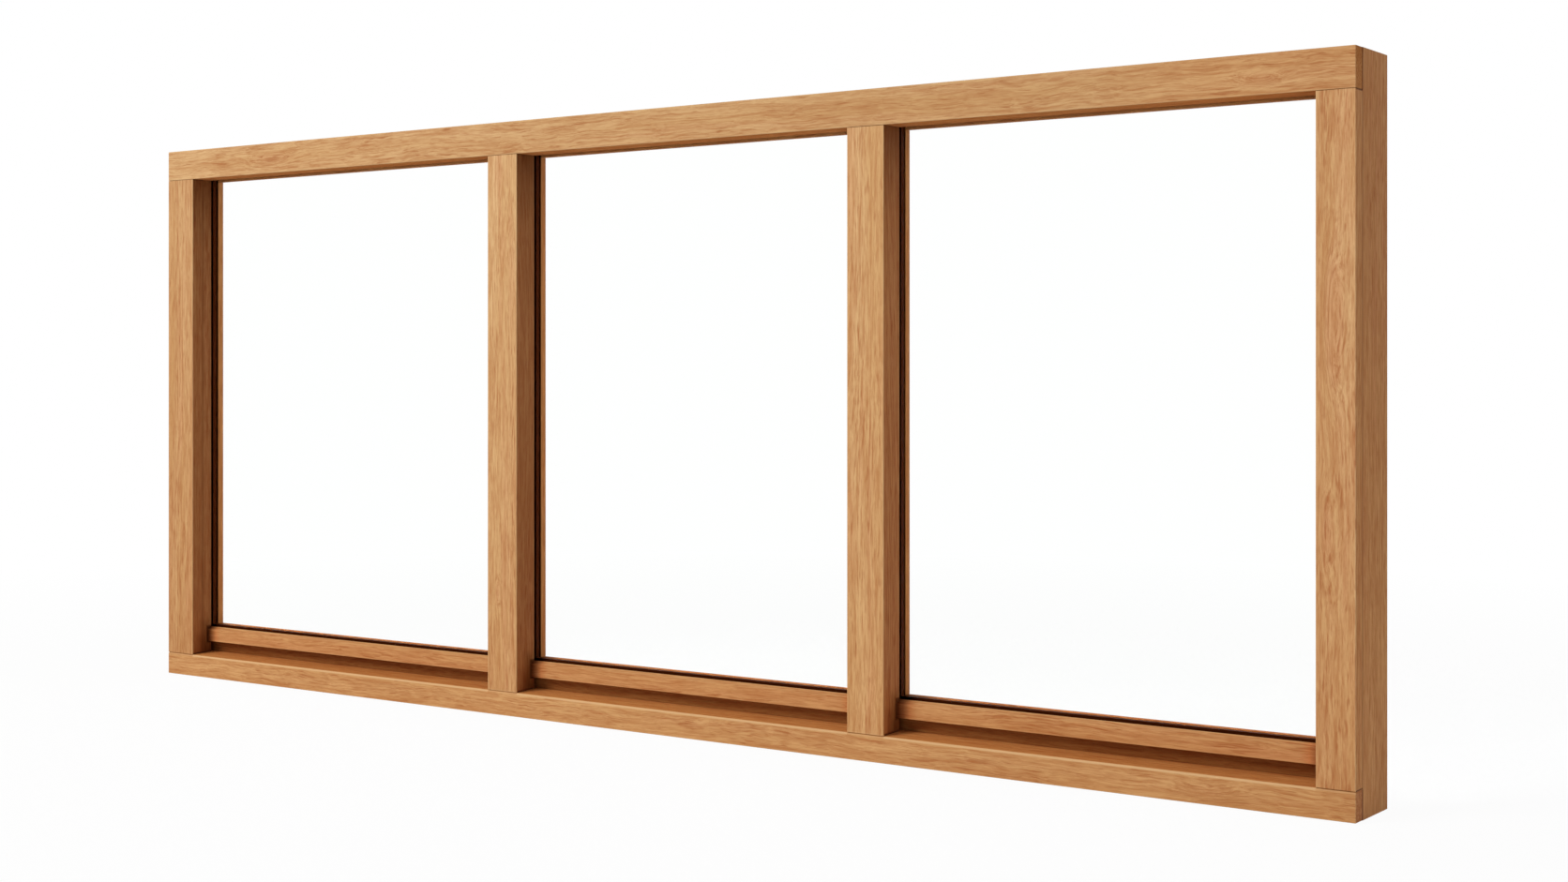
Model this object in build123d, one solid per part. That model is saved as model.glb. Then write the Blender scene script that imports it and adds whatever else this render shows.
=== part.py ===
from build123d import *
import math
import os

# Fixed oak window with three lights side by side, all sizes in millimetres.
# X runs along the window, Y from the outside face to the inside, Z upwards.
# The outline is drawn with the outside face at Y = 0 and moved at the end, so
# that the origin is the middle of the footprint, on the underside of the sill.

# Widths along the window, from left to right as seen from outside
LEFT_JAMB_WIDTH = 72.0
LEFT_LIGHT_WIDTH = 780.0
LEFT_MULLION_WIDTH = 67.0
MIDDLE_LIGHT_WIDTH = 680.0
RIGHT_MULLION_WIDTH = 66.0
RIGHT_LIGHT_WIDTH = 680.0
RIGHT_JAMB_WIDTH = 55.0

# Heights
FRAME_HEIGHT = 1020.0
HEAD_HEIGHT = 56.0
SILL_NOSE_HEIGHT = 41.0
SILL_UPSTAND_HEIGHT = 80.0
SILL_SLOPE_DEG = 2.5

# Depths from the outside face
FRAME_DEPTH = 118.0
REVEAL_DEPTH = 45.0
RISER_SET_BACK = 12.0
LAP_DEPTH = 24.0

# Rebate that takes the glass from the inside
SIDE_REBATE = 15.0
HEAD_REBATE = 19.0

# Wider recess at the back, all round the inside, that stops at a thin lip
RECESS_DEPTH = 30.0
RECESS_LIP = 18.0

# Double glazed unit and what holds it
PANE_THICKNESS = 4.0
CAVITY = 8.0
SPACER_WIDTH = 12.0
OUTER_TAPE_THICKNESS = 1.0
INNER_TAPE_THICKNESS = 2.0
TOP_BEAD_DROP = 2.0
TAPE_INSET = 0.8
HEAD_TAPE_INSET = 4.0
EDGE_ROOM = 3.0
BLOCK_HEIGHT = 4.0
BLOCK_LENGTH = 100.0
BLOCK_INSET = 120.0
BEAD_DEPTH = 12.0
BOTTOM_BEAD_HEIGHT = 16.0
BEAD_ROUND = 2.0

# Weather bar across the foot of each light
BAR_THICKNESS = 8.0
BAR_HEIGHT = 28.0
BAR_COVER = 16.0
BAR_BEVEL_DROP = 5.0
BAR_END_GAP = 0.5
BAR_ROUND = 1.0
BAR_END_ROUND = 1.0
THROAT_RADIUS = 1.5

# Joints
JOINT_GAP = 0.5
FIT_GAP = 0.2
TENON_LENGTH = 15.0
TENON_THICKNESS = 16.0
TENON_BREADTH = 20.0
TENON_BACK_WOOD = 10.0
CORNER_TENON_HEIGHT = 16.0

# Eased edges
ARRIS = 1.0
SILL_NOSE_ROUND = 3.0

# How far a cut runs past the face that it leaves
CUT_PAST = 5.0

# Sizes that follow from the ones above
FRAME_WIDTH = (
    LEFT_JAMB_WIDTH + LEFT_LIGHT_WIDTH + LEFT_MULLION_WIDTH + MIDDLE_LIGHT_WIDTH
    + RIGHT_MULLION_WIDTH + RIGHT_LIGHT_WIDTH + RIGHT_JAMB_WIDTH
)
LEFT_END = -FRAME_WIDTH / 2
RIGHT_END = FRAME_WIDTH / 2
SOFFIT = FRAME_HEIGHT - HEAD_HEIGHT
HEAD_REBATE_TOP = SOFFIT + HEAD_REBATE
TOP_BEAD_BOTTOM = SOFFIT - TOP_BEAD_DROP
RISER_DEPTH = REVEAL_DEPTH + RISER_SET_BACK
RECESS_FRONT = FRAME_DEPTH - RECESS_DEPTH
RECESS_TOP = FRAME_HEIGHT - RECESS_LIP
RECESS_FOOT = SILL_UPSTAND_HEIGHT - RECESS_LIP
BAR_BOTTOM = SILL_UPSTAND_HEIGHT - BAR_COVER
BAR_TOP = BAR_BOTTOM + BAR_HEIGHT
BOTTOM_BEAD_TOP = SILL_UPSTAND_HEIGHT + BOTTOM_BEAD_HEIGHT
TENON_BACK = RECESS_FRONT - TENON_BACK_WOOD
TENON_FRONT = TENON_BACK - TENON_BREADTH

# Layers of the glazing, from the outside to the inside
OUTER_PANE_FRONT = REVEAL_DEPTH + OUTER_TAPE_THICKNESS
CAVITY_FRONT = OUTER_PANE_FRONT + PANE_THICKNESS
INNER_PANE_FRONT = CAVITY_FRONT + CAVITY
INNER_TAPE_FRONT = INNER_PANE_FRONT + PANE_THICKNESS
BEAD_FRONT = INNER_TAPE_FRONT + INNER_TAPE_THICKNESS
BEAD_BACK = BEAD_FRONT + BEAD_DEPTH

# Edges of the double glazed unit, in height
UNIT_BOTTOM = SILL_UPSTAND_HEIGHT + BLOCK_HEIGHT
UNIT_TOP = HEAD_REBATE_TOP - EDGE_ROOM


def section(corners):
    """Face through the corners, each given as (u, v) or as (u, v, radius)."""
    face = make_face(Polyline(*[corner[:2] for corner in corners], close=True))
    for corner in corners:
        if len(corner) == 3:
            vertex = face.vertices().sort_by_distance((corner[0], corner[1], 0))[0]
            face = fillet(vertex, corner[2])
    return face


def along_x(face, x_from, x_to):
    """Solid with a section drawn in Y and Z, run along the window."""
    return extrude(Plane.YZ.offset(x_from) * face, amount=x_to - x_from)


def along_z(face, z_from, z_to):
    """Solid with a section drawn in X and Y, run upwards."""
    return extrude(Pos(0, 0, z_from) * face, amount=z_to - z_from)


def block(x_from, x_to, y_from, y_to, z_from, z_to):
    """Square-edged block between two opposite corners."""
    size = (x_to - x_from, y_to - y_from, z_to - z_from)
    return Pos(x_from, y_from, z_from) * Box(*size, align=(Align.MIN, Align.MIN, Align.MIN))


def tenon(x_middle, z_from, z_to, gap=0.0):
    """Upright stub tenon of a mullion, or its mortise where a gap is given."""
    half = TENON_THICKNESS / 2 + gap
    return block(x_middle - half, x_middle + half, TENON_FRONT - gap, TENON_BACK + gap, z_from, z_to)


def corner_tenon(x_from, x_to, z_middle, gap=0.0):
    """Level stub tenon of the head or the sill, or its mortise where a gap is given."""
    half = CORNER_TENON_HEIGHT / 2 + gap
    return block(x_from, x_to, TENON_FRONT - gap, TENON_BACK + gap, z_middle - half, z_middle + half)


# Layout of the posts and the lights along the window

def lay_out():
    """Left and right edge of every post and of every light."""
    widths = (
        ("left_jamb", LEFT_JAMB_WIDTH),
        ("left", LEFT_LIGHT_WIDTH),
        ("left_mullion", LEFT_MULLION_WIDTH),
        ("middle", MIDDLE_LIGHT_WIDTH),
        ("right_mullion", RIGHT_MULLION_WIDTH),
        ("right", RIGHT_LIGHT_WIDTH),
        ("right_jamb", RIGHT_JAMB_WIDTH),
    )
    edges = {}
    x = LEFT_END
    for name, width in widths:
        edges[name] = (x, x + width)
        x = x + width
    return edges


EDGES = lay_out()
LIGHTS = ("left", "middle", "right")
MULLIONS = ("left_mullion", "right_mullion")
INNER_LEFT = EDGES["left_jamb"][1]
INNER_RIGHT = EDGES["right_jamb"][0]


# Frame: head, sill, jambs and mullions

def sill_section():
    """Weathered sill with a rounded nose and an upstand that is hollowed under the weather bars."""
    slope_rise = RISER_DEPTH * math.tan(math.radians(SILL_SLOPE_DEG))
    return section([
        (0, 0, ARRIS),
        (0, SILL_NOSE_HEIGHT, SILL_NOSE_ROUND),
        (RISER_DEPTH, SILL_NOSE_HEIGHT + slope_rise),
        (RISER_DEPTH, BAR_BOTTOM),
        (REVEAL_DEPTH, BAR_BOTTOM),
        (REVEAL_DEPTH, SILL_UPSTAND_HEIGHT),
        (RECESS_FRONT, SILL_UPSTAND_HEIGHT, ARRIS),
        (RECESS_FRONT, RECESS_FOOT),
        (FRAME_DEPTH, RECESS_FOOT, ARRIS),
        (FRAME_DEPTH, 0, ARRIS),
    ])


def head_section():
    """Head with its soffit in front, then the rebate, then the wider recess."""
    return section([
        (0, FRAME_HEIGHT, ARRIS),
        (FRAME_DEPTH, FRAME_HEIGHT, ARRIS),
        (FRAME_DEPTH, RECESS_TOP, ARRIS),
        (RECESS_FRONT, RECESS_TOP),
        (RECESS_FRONT, HEAD_REBATE_TOP, ARRIS),
        (REVEAL_DEPTH, HEAD_REBATE_TOP),
        (REVEAL_DEPTH, SOFFIT),
        (0, SOFFIT, ARRIS),
    ])


def jamb_section(outer, inner):
    """Plan of a jamb: reveal in front, then the rebate, then the lip of the recess."""
    rebate = inner + math.copysign(SIDE_REBATE, outer - inner)
    lip = outer - math.copysign(RECESS_LIP, outer - inner)
    return section([
        (outer, FRAME_DEPTH, ARRIS),
        (lip, FRAME_DEPTH, ARRIS),
        (lip, RECESS_FRONT),
        (rebate, RECESS_FRONT, ARRIS),
        (rebate, REVEAL_DEPTH),
        (inner, REVEAL_DEPTH),
        (inner, 0, ARRIS),
        (outer, 0, ARRIS),
    ])


def mullion_section(left, right):
    """Plan of a mullion with a rebate behind each side, as deep as the recess allows."""
    return section([
        (left, 0, ARRIS),
        (right, 0, ARRIS),
        (right, REVEAL_DEPTH),
        (right - SIDE_REBATE, REVEAL_DEPTH),
        (right - SIDE_REBATE, RECESS_FRONT, ARRIS),
        (left + SIDE_REBATE, RECESS_FRONT, ARRIS),
        (left + SIDE_REBATE, REVEAL_DEPTH),
        (left, REVEAL_DEPTH),
    ])


def jamb_housing(outer, inner, z_from, z_to):
    """Room behind a lap for the full-height part of a jamb."""
    outward = math.copysign(1, outer - inner)
    end = outer + outward * CUT_PAST
    rebate = inner + outward * SIDE_REBATE
    lip = outer - outward * RECESS_LIP
    front = block(min(end, inner), max(end, inner), LAP_DEPTH, REVEAL_DEPTH, z_from, z_to)
    behind = block(min(end, rebate), max(end, rebate), REVEAL_DEPTH, RECESS_FRONT, z_from, z_to)
    back = block(min(end, lip), max(end, lip), RECESS_FRONT, FRAME_DEPTH + CUT_PAST, z_from, z_to)
    return front + behind + back


def rail(face, tenon_middle):
    """Head or sill: it laps over the jambs in front and tenons into them behind."""
    body = along_x(face, LEFT_END, RIGHT_END)
    ends = body.edges().filter_by(Axis.Z).group_by(Axis.Y)[0]
    body = fillet(ends, ARRIS)
    body = body - jamb_housing(LEFT_END, INNER_LEFT, -CUT_PAST, FRAME_HEIGHT + CUT_PAST)
    body = body - jamb_housing(RIGHT_END, INNER_RIGHT, -CUT_PAST, FRAME_HEIGHT + CUT_PAST)
    inner_from = INNER_LEFT - SIDE_REBATE
    inner_to = INNER_RIGHT + SIDE_REBATE
    body = body + corner_tenon(inner_from - TENON_LENGTH, inner_from, tenon_middle)
    return body + corner_tenon(inner_to, inner_to + TENON_LENGTH, tenon_middle)


HEAD_TENON_MIDDLE = (HEAD_REBATE_TOP + FRAME_HEIGHT) / 2
SILL_TENON_MIDDLE = SILL_UPSTAND_HEIGHT / 2


def build_head():
    """Head with a mortise for each mullion."""
    head = rail(head_section(), HEAD_TENON_MIDDLE)
    for name in MULLIONS:
        mouth = HEAD_REBATE_TOP - CUT_PAST
        end = HEAD_REBATE_TOP + TENON_LENGTH + FIT_GAP
        head = head - tenon(sum(EDGES[name]) / 2, mouth, end, FIT_GAP)
    return head


def build_sill():
    """Sill with a mortise for each mullion."""
    sill = rail(sill_section(), SILL_TENON_MIDDLE)
    for name in MULLIONS:
        mouth = SILL_UPSTAND_HEIGHT + CUT_PAST
        end = SILL_UPSTAND_HEIGHT - TENON_LENGTH - FIT_GAP
        sill = sill - tenon(sum(EDGES[name]) / 2, end, mouth, FIT_GAP)
    return sill


def head_cutter(depth):
    """Room under the head for the top of a post, back to a given depth."""
    front_shoulder = SOFFIT - JOINT_GAP
    rear_shoulder = HEAD_REBATE_TOP - JOINT_GAP
    corners = [(-CUT_PAST, front_shoulder)]
    if depth > REVEAL_DEPTH:
        corners += [(REVEAL_DEPTH, front_shoulder), (REVEAL_DEPTH, rear_shoulder), (depth, rear_shoulder)]
    else:
        corners += [(depth, front_shoulder)]
    corners += [(depth, FRAME_HEIGHT + CUT_PAST), (-CUT_PAST, FRAME_HEIGHT + CUT_PAST)]
    return along_x(section(corners), LEFT_END - CUT_PAST, RIGHT_END + CUT_PAST)


def sill_cutter(depth):
    """Room over the sill for the foot of a post, scribed to the slope."""
    rise = math.tan(math.radians(SILL_SLOPE_DEG))
    nose = SILL_NOSE_HEIGHT + JOINT_GAP
    corners = [(-CUT_PAST, -CUT_PAST), (-CUT_PAST, nose - CUT_PAST * rise)]
    if depth > REVEAL_DEPTH:
        rear_shoulder = SILL_UPSTAND_HEIGHT + JOINT_GAP
        corners += [(REVEAL_DEPTH, nose + REVEAL_DEPTH * rise), (REVEAL_DEPTH, rear_shoulder)]
        corners += [(depth, rear_shoulder)]
    else:
        corners += [(depth, nose + depth * rise)]
    corners += [(depth, -CUT_PAST)]
    return along_x(section(corners), LEFT_END - CUT_PAST, RIGHT_END + CUT_PAST)


def build_jamb(name):
    """Jamb, notched for the laps of the head and the sill and mortised behind."""
    left, right = EDGES[name]
    outer, inner = (left, right) if name == "left_jamb" else (right, left)
    jamb = along_z(jamb_section(outer, inner), 0, FRAME_HEIGHT)
    jamb = jamb - head_cutter(LAP_DEPTH + JOINT_GAP) - sill_cutter(LAP_DEPTH + JOINT_GAP)
    outward = math.copysign(1, outer - inner)
    rebate = inner + outward * SIDE_REBATE
    mouth = rebate - outward * CUT_PAST
    end = rebate + outward * (TENON_LENGTH + FIT_GAP)
    for middle in (HEAD_TENON_MIDDLE, SILL_TENON_MIDDLE):
        jamb = jamb - corner_tenon(min(mouth, end), max(mouth, end), middle, FIT_GAP)
    return jamb


def build_mullion(name):
    """Mullion, scribed over the sill and tenoned into the sill and the head."""
    left, right = EDGES[name]
    middle = (left + right) / 2
    post = along_z(mullion_section(left, right), 0, FRAME_HEIGHT)
    post = post - head_cutter(FRAME_DEPTH + CUT_PAST) - sill_cutter(FRAME_DEPTH + CUT_PAST)
    post = post + tenon(middle, HEAD_REBATE_TOP - JOINT_GAP, HEAD_REBATE_TOP + TENON_LENGTH)
    return post + tenon(middle, SILL_UPSTAND_HEIGHT - TENON_LENGTH, SILL_UPSTAND_HEIGHT + JOINT_GAP)


# Glazing of one light

def upright_frame(outside, inside, y_from, y_to):
    """Flat ring between two upright rectangles, each (left, right, bottom, top)."""
    ring = block(outside[0], outside[1], y_from, y_to, outside[2], outside[3])
    return ring - block(inside[0], inside[1], y_from, y_to, inside[2], inside[3])


def unit_edges(light):
    """Left, right, bottom and top edge of the double glazed unit."""
    left, right = EDGES[light]
    reach = SIDE_REBATE - EDGE_ROOM
    return (left - reach, right + reach, UNIT_BOTTOM, UNIT_TOP)


def spacer_opening(light):
    """The clear rectangle inside the spacer."""
    left, right, bottom, top = unit_edges(light)
    return (left + SPACER_WIDTH, right - SPACER_WIDTH, bottom + SPACER_WIDTH, top - SPACER_WIDTH)


def build_pane(light, y_from):
    """One pane of clear glass."""
    left, right, bottom, top = unit_edges(light)
    return block(left, right, y_from, y_from + PANE_THICKNESS, bottom, top)


def build_spacer(light):
    """Spacer and edge seal between the two panes."""
    return upright_frame(unit_edges(light), spacer_opening(light), CAVITY_FRONT, INNER_PANE_FRONT)


def build_outer_tape(light):
    """Glazing tape between the frame's shoulder and the outer pane."""
    left, right = EDGES[light]
    seen = (left - TAPE_INSET, right + TAPE_INSET, BAR_TOP - TAPE_INSET, SOFFIT + HEAD_TAPE_INSET)
    return upright_frame(unit_edges(light), seen, REVEAL_DEPTH, OUTER_PANE_FRONT)


def build_inner_tape(light):
    """Glazing tape between the inner pane and the beads."""
    left, right = EDGES[light]
    seen = (left - TAPE_INSET, right + TAPE_INSET, BOTTOM_BEAD_TOP - TAPE_INSET, SOFFIT + HEAD_TAPE_INSET)
    return upright_frame(unit_edges(light), seen, INNER_TAPE_FRONT, BEAD_FRONT)


def build_setting_blocks(light):
    """Two packers that carry the glass on the sill's upstand."""
    left, right = EDGES[light]
    height = (SILL_UPSTAND_HEIGHT, UNIT_BOTTOM)
    depth = (OUTER_PANE_FRONT, INNER_TAPE_FRONT)
    near_left = block(left + BLOCK_INSET, left + BLOCK_INSET + BLOCK_LENGTH, *depth, *height)
    near_right = block(right - BLOCK_INSET - BLOCK_LENGTH, right - BLOCK_INSET, *depth, *height)
    return Compound(children=[near_left, near_right])


def build_weather_bar(light):
    """Bar over the foot of the glass, weathered on top and throated below."""
    left, right = EDGES[light]
    bar_front = REVEAL_DEPTH - BAR_THICKNESS
    face = section([
        (REVEAL_DEPTH, BAR_BOTTOM),
        (REVEAL_DEPTH, BAR_TOP),
        (bar_front, BAR_TOP - BAR_BEVEL_DROP, BAR_ROUND),
        (bar_front, BAR_BOTTOM, BAR_ROUND),
    ])
    ends = (left + BAR_END_GAP, right - BAR_END_GAP)
    bar = along_x(face, *ends)
    rounded = block(*ends, bar_front, REVEAL_DEPTH, BAR_BOTTOM, BAR_TOP)
    rounded = fillet(rounded.edges().filter_by(Axis.Z).group_by(Axis.Y)[0], BAR_END_ROUND)
    bar = bar & rounded
    throat_middle = bar_front + BAR_THICKNESS / 2
    throat = Pos(throat_middle, BAR_BOTTOM) * Circle(THROAT_RADIUS)
    return bar - along_x(throat, left, right)


def build_level_bead(light, z_from, z_to, seen_z):
    """Top or bottom bead, with its rear edge toward the light rounded."""
    left, right = EDGES[light]
    rebate_left = left - SIDE_REBATE + FIT_GAP
    rebate_right = right + SIDE_REBATE - FIT_GAP
    bead = block(rebate_left, rebate_right, BEAD_FRONT, BEAD_BACK, z_from, z_to)
    near_edge = bead.edges().filter_by(Axis.X).sort_by_distance((0, BEAD_BACK, seen_z))[0]
    return fillet(near_edge, BEAD_ROUND)


def build_side_bead(light, seen_x, rebate_x):
    """Left or right bead, cut between the top and the bottom bead."""
    ends = (BOTTOM_BEAD_TOP + FIT_GAP, TOP_BEAD_BOTTOM - FIT_GAP)
    bead = block(min(seen_x, rebate_x), max(seen_x, rebate_x), BEAD_FRONT, BEAD_BACK, *ends)
    near_edge = bead.edges().filter_by(Axis.Z).sort_by_distance((seen_x, BEAD_BACK, sum(ends) / 2))[0]
    return fillet(near_edge, BEAD_ROUND)


def build_light(light):
    """Every piece of one light, by node name."""
    left, right = EDGES[light]
    return {
        light + "_weather_bar": build_weather_bar(light),
        light + "_outer_tape": build_outer_tape(light),
        light + "_outer_pane": build_pane(light, OUTER_PANE_FRONT),
        light + "_spacer": build_spacer(light),
        light + "_inner_pane": build_pane(light, INNER_PANE_FRONT),
        light + "_inner_tape": build_inner_tape(light),
        light + "_setting_blocks": build_setting_blocks(light),
        light + "_top_bead": build_level_bead(light, TOP_BEAD_BOTTOM, HEAD_REBATE_TOP, TOP_BEAD_BOTTOM),
        light + "_bottom_bead": build_level_bead(
            light, SILL_UPSTAND_HEIGHT, BOTTOM_BEAD_TOP, BOTTOM_BEAD_TOP),
        light + "_left_bead": build_side_bead(light, left, left - SIDE_REBATE),
        light + "_right_bead": build_side_bead(light, right, right + SIDE_REBATE),
    }


# Whole window

def build_window():
    """Every piece of the window, by node name."""
    pieces = {
        "head": build_head(),
        "sill": build_sill(),
        "left_jamb": build_jamb("left_jamb"),
        "right_jamb": build_jamb("right_jamb"),
        "left_mullion": build_mullion("left_mullion"),
        "right_mullion": build_mullion("right_mullion"),
    }
    for light in LIGHTS:
        pieces.update(build_light(light))
    return pieces


os.makedirs("parts", exist_ok=True)
for node, shape in build_window().items():
    export_step(Pos(0, -FRAME_DEPTH / 2, 0) * shape, "parts/" + node + ".step")
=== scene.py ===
import math

import bpy
from bpy.props import FloatProperty, FloatVectorProperty, PointerProperty
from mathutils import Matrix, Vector


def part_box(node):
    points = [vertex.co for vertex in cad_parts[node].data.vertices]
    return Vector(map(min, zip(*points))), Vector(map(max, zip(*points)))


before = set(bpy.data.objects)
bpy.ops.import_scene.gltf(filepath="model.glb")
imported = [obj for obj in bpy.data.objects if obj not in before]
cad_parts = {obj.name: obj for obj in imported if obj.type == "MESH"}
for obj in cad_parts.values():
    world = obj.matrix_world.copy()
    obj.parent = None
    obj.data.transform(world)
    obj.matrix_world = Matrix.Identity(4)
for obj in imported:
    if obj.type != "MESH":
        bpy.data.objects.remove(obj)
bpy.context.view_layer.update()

# Finishes and studio for a fixed oak window with three double glazed lights.
# The pieces come from the frame. Each gets its finish here: oiled oak with the
# grain along the piece, clear glass, dark spacers, tapes and packers. The oak's
# colour also holds painted shade inside the openings and painted highlights on
# its edges.

bl_info = {
    "name": "Fixed oak window",
    "version": (1, 0, 0),
    "blender": (4, 5, 0),
    "location": "3D View > Sidebar > Oak window",
    "description": "Finishes the pieces of a fixed oak window and sets up its studio",
    "category": "Object",
}

LIGHTS = ("left", "middle", "right")
LEVEL_BEADS = ("top_bead", "bottom_bead")
SIDE_BEADS = ("left_bead", "right_bead")


# Settings that a user would change

class OakSettings(bpy.types.PropertyGroup):
    """Colours and grain of the oiled oak, and the tints that paint shade on it."""

    pale: FloatVectorProperty(
        name="Pale wood", description="Colour of the palest streaks",
        subtype="COLOR", size=3, min=0, max=1, default=(0.75, 0.470, 0.230))
    honey: FloatVectorProperty(
        name="Honey wood", description="Main colour of the oiled oak",
        subtype="COLOR", size=3, min=0, max=1, default=(0.64, 0.362, 0.156))
    streak: FloatVectorProperty(
        name="Streak", description="Colour of the early wood and of the darker fibres",
        subtype="COLOR", size=3, min=0, max=1, default=(0.47, 0.195, 0.072))
    blush: FloatVectorProperty(
        name="Blush", description="Colour of the reddish bands",
        subtype="COLOR", size=3, min=0, max=1, default=(0.66, 0.325, 0.165))
    dash: FloatVectorProperty(
        name="Dash", description="Colour of the short dark lines in the grain",
        subtype="COLOR", size=3, min=0, max=1, default=(0.40, 0.135, 0.046))
    seam: FloatVectorProperty(
        name="Joint line", description="Colour of the dark line where two pieces meet",
        subtype="COLOR", size=3, min=0, max=1, default=(0.14, 0.042, 0.014))
    # Painted shade: darkens and deepens the colour of the wood inside the openings, where less light
    # reaches.
    recess_tone: FloatVectorProperty(
        name="Recess tone", description="Tint of the deeper oil inside the openings",
        subtype="COLOR", size=3, min=0, max=1, default=(0.757, 0.537, 0.419))
    # Painted shade: darkens and reddens the top of the sill, which faces up inside the openings.
    sill_top_tone: FloatVectorProperty(
        name="Sill top tone", description="Tint of the weathered top of the sill",
        subtype="COLOR", size=3, min=0, max=1, default=(1.0, 0.80, 0.595))
    # Painted shade: darkens the underside of the head.
    soffit_tone: FloatVectorProperty(
        name="Soffit tone", description="Tint of the oil under the head",
        subtype="COLOR", size=3, min=0, max=1, default=(0.87, 0.575, 0.385))
    # Painted shade: a light darkening of the weather bars, which sit in the recess.
    bar_tone: FloatVectorProperty(
        name="Bar tone", description="Tint of the oil on the weather bars",
        subtype="COLOR", size=3, min=0, max=1, default=(1.0, 0.92, 0.86))
    # Painted shade: darkens the step of the sill, which lies in the shadow of the weather bars.
    riser_tone: FloatVectorProperty(
        name="Riser tone", description="Tint of the step of the sill under the weather bars",
        subtype="COLOR", size=3, min=0, max=1, default=(0.556, 0.510, 0.468))
    # Painted shade in the corners at the foot of the openings.
    corner_tone: FloatVectorProperty(
        name="Corner tone", description="Darkening of the posts at the foot of the openings",
        subtype="COLOR", size=3, min=0, max=1, default=(0.55, 0.46, 0.38))
    # Painted shade in the corners of the openings under the head.
    top_corner_tone: FloatVectorProperty(
        name="Top corner tone", description="Darkening of the posts under the head",
        subtype="COLOR", size=3, min=0, max=1, default=(0.54, 0.48, 0.37))
    shade_tone: FloatVectorProperty(
        name="Shade tone", description="Soft darkening of the posts beside the weather bars",
        subtype="COLOR", size=3, min=0, max=1, default=(0.66, 0.69, 0.62))
    # Painted contact shadow where two pieces meet in a corner.
    contact_tone: FloatVectorProperty(
        name="Contact tone", description="Darkening where two pieces meet in a corner",
        subtype="COLOR", size=3, min=0, max=1, default=(0.35, 0.28, 0.24))
    # Painted shade: the posts inside the openings grow darker toward the head.
    top_fade_tone: FloatVectorProperty(
        name="Top fade tone", description="Broad soft darkening of the posts toward the head",
        subtype="COLOR", size=3, min=0, max=1, default=(0.87, 0.845, 0.81))
    # Painted shadow: darkens the ends of the weather bars, in the shade of the posts.
    bar_end_tone: FloatVectorProperty(
        name="Bar end tone", description="Darkening of the ends of the weather bars",
        subtype="COLOR", size=3, min=0, max=1, default=(0.25, 0.17, 0.13))
    # Painted shadow: the red tint of the shade at the ends of the weather bars.
    bar_blush_tone: FloatVectorProperty(
        name="Bar blush tone", description="Red tint beside the ends of the weather bars",
        subtype="COLOR", size=3, min=0, max=1, default=(1.0, 0.82, 0.74))
    lap_tone: FloatVectorProperty(
        name="Lap end tone", description="Tint of the end grain of the laps at the foot",
        subtype="COLOR", size=3, min=0, max=1, default=(0.855, 0.76, 0.78))
    lap_top_tone: FloatVectorProperty(
        name="Lap top tone", description="Tint of the end grain of the laps at the top",
        subtype="COLOR", size=3, min=0, max=2, default=(1.08, 1.07, 1.25))
    # Darker and redder toward the sill, fading to the head tone at the top.
    foot_tone: FloatVectorProperty(
        name="Foot tone", description="Tint that the wood takes toward the sill",
        subtype="COLOR", size=3, min=0, max=1, default=(0.92, 0.83, 0.75))
    head_tone: FloatVectorProperty(
        name="Head tone", description="Tint that the wood takes toward the head",
        subtype="COLOR", size=3, min=0, max=1, default=(1.0, 1.0, 1.0))
    sill_end_tone: FloatVectorProperty(
        name="Sill end tone", description="Tint of the sill under the left and the right light",
        subtype="COLOR", size=3, min=0, max=1, default=(0.936, 0.890, 0.850))
    head_end_tone: FloatVectorProperty(
        name="Head end tone", description="Tint of the right end of the head",
        subtype="COLOR", size=3, min=0, max=1, default=(1.0, 0.925, 0.87))
    # Painted shade: the outer sides face away from the lamp and take a darker, deeper colour, lighter
    # toward the foot.
    side_tone: FloatVectorProperty(
        name="Side tone", description="Tint of the outer sides of the frame at the foot",
        subtype="COLOR", size=3, min=0, max=1, default=(1.0, 0.820, 0.655))
    # Painted shade on the outer sides at the top, darker than at the foot.
    side_top_tone: FloatVectorProperty(
        name="Side top tone", description="Tint of the outer sides of the frame at the top",
        subtype="COLOR", size=3, min=0, max=1, default=(0.92, 0.735, 0.595))
    ring_spacing: FloatProperty(
        name="Ring spacing", description="Width of one growth ring",
        subtype="DISTANCE", unit="LENGTH", min=0.001, max=0.02, default=0.0050)
    ring_depth: FloatProperty(
        name="Ring depth", description="How strongly the growth rings darken the wood",
        min=0, max=1, default=0.30)
    dash_depth: FloatProperty(
        name="Dash depth", description="How strongly the short dark lines show",
        min=0, max=1, default=0.62)
    roughness: FloatProperty(
        name="Roughness", description="Roughness of the oiled surface",
        min=0, max=1, default=0.52)
    shine: FloatProperty(
        name="Shine", description="Strength of the surface's reflection",
        min=0, max=1, default=0.03)
    relief: FloatProperty(
        name="Relief", description="Height of the grain's relief",
        subtype="DISTANCE", unit="LENGTH", min=0, max=0.002, default=0.0003)


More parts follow.
